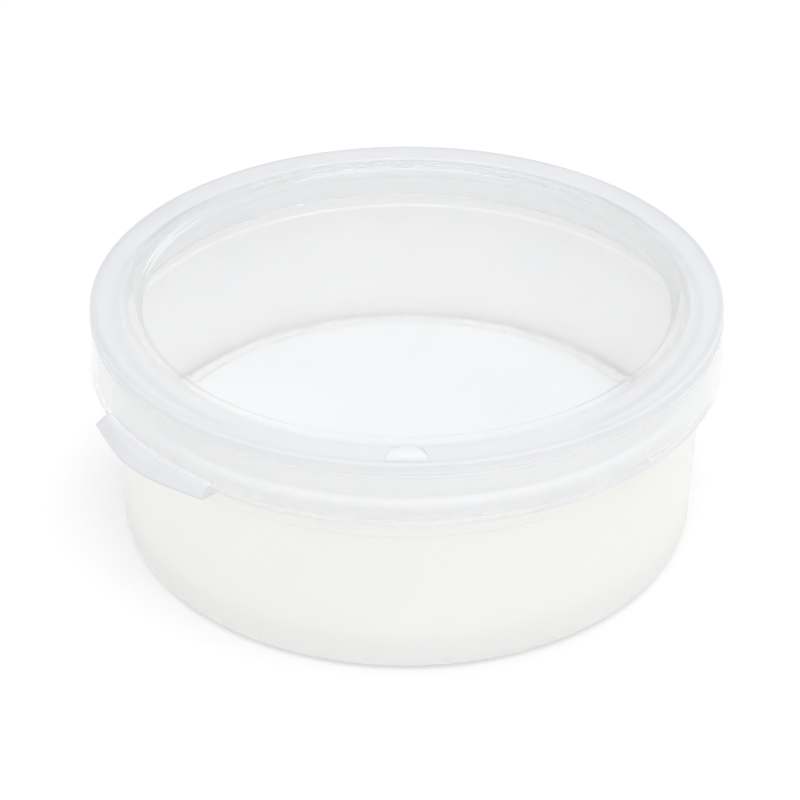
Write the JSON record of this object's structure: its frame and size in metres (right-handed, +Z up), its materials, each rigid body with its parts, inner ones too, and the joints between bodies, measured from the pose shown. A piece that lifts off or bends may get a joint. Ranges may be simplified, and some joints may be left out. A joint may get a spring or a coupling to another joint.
{
  "type": "round wet palette",
  "caption": "Round moulded tub with a translucent press-on lid, holding a damp sponge disc under a disc of palette paper that keeps acrylic paint wet.",
  "frame": {"origin": "centre of the tub's underside, on the surface that it stands on", "axes": "+Z up out of the tub, -Y towards the gate pad at the lid's front edge, with the pull tab at the front left between -X and -Y"},
  "size_m": [0.1198, 0.1198, 0.048],
  "materials": {
    "tub_plastic": "milky white, semi-opaque, satin, injection moulded",
    "lid_plastic": "clear, slightly blue-grey and frosted, injection moulded",
    "sponge_foam": "damp, off-white, fine-pored cellulose sponge",
    "paper_sheet": "smooth, damp, slightly translucent parchment"
  },
  "bodies": {
    "tub_body": {"tub": "tub_plastic"},
    "lid_body": {"lid": "lid_plastic"},
    "sponge_body": {"sponge": "sponge_foam"},
    "paper_body": {"palette_paper": "paper_sheet"}
  },
  "joints": [
    {"name": "lid_lift", "type": "slide", "parent": "tub_body", "child": "lid_body", "axis": [0, 0, 1], "range_m": [0, 0.06]},
    {"name": "sponge_lift", "type": "slide", "parent": "tub_body", "child": "sponge_body", "axis": [0, 0, 1], "range_m": [0, 0.017]},
    {"name": "paper_lift", "type": "slide", "parent": "sponge_body", "child": "paper_body", "axis": [0, 0, 1], "range_m": [0, 0.017]}
  ]
}
